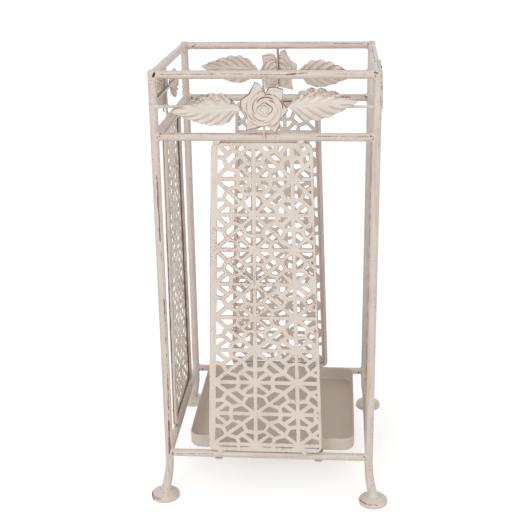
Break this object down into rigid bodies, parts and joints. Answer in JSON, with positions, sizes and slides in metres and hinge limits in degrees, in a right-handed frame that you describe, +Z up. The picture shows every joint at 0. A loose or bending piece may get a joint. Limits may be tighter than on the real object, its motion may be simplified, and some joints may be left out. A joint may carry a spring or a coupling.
{
  "type": "umbrella stand",
  "caption": "Square welded umbrella stand with star lattice panels, a rose and leaf frieze on every side, flared legs on disc feet and a lift-out drip tray.",
  "frame": {"origin": "on the floor at the middle of the stand's square plan", "axes": "+Z up, front side towards -Y, +X to the right as seen from the front"},
  "size_m": [0.286, 0.286, 0.5173],
  "materials": {
    "frame_paint": "satin cream paint, worn through to brown along the edges",
    "sheet_paint": "satin cream paint on perforated sheet, worn at the cut edges",
    "ornament_paint": "satin cream paint on pressed sheet, worn on the raised rims",
    "tray_paint": "satin cream paint on pressed sheet"
  },
  "bodies": {
    "frame": {"base_rail_back": "frame_paint", "base_rail_front": "frame_paint", "base_rail_left": "frame_paint", "base_rail_right": "frame_paint", "foot_back_left": "frame_paint", "foot_back_right": "frame_paint", "foot_front_left": "frame_paint", "foot_front_right": "frame_paint", "frieze_rail_back": "frame_paint", "frieze_rail_front": "frame_paint", "frieze_rail_left": "frame_paint", "frieze_rail_right": "frame_paint", "frieze_wire_back": "frame_paint", "frieze_wire_front": "frame_paint", "frieze_wire_left": "frame_paint", "frieze_wire_right": "frame_paint", "leaf_back_left": "ornament_paint", "leaf_back_right": "ornament_paint", "leaf_front_left": "ornament_paint", "leaf_front_right": "ornament_paint", "leaf_left_left": "ornament_paint", "leaf_left_right": "ornament_paint", "leaf_right_left": "ornament_paint", "leaf_right_right": "ornament_paint", "panel_loop_back": "frame_paint", "panel_loop_front": "frame_paint", "panel_loop_left": "frame_paint", "panel_loop_right": "frame_paint", "panel_sheet_back": "sheet_paint", "panel_sheet_front": "sheet_paint", "panel_sheet_left": "sheet_paint", "panel_sheet_right": "sheet_paint", "panel_welds_back": "frame_paint", "panel_welds_front": "frame_paint", "panel_welds_left": "frame_paint", "panel_welds_right": "frame_paint", "post_back_left": "frame_paint", "post_back_right": "frame_paint", "post_front_left": "frame_paint", "post_front_right": "frame_paint", "rose_back": "ornament_paint", "rose_front": "ornament_paint", "rose_left": "ornament_paint", "rose_right": "ornament_paint", "stem_wire_back": "frame_paint", "stem_wire_front": "frame_paint", "stem_wire_left": "frame_paint", "stem_wire_right": "frame_paint", "top_rail_back": "frame_paint", "top_rail_front": "frame_paint", "top_rail_left": "frame_paint", "top_rail_right": "frame_paint", "tray_strip_left": "frame_paint", "tray_strip_right": "frame_paint"},
    "tray": {"drip_tray": "tray_paint"}
  },
  "joints": [
    {"name": "tray_lift", "type": "slide", "parent": "frame", "child": "tray", "axis": [0, 0, 1], "range_m": [0, 0.48]}
  ]
}
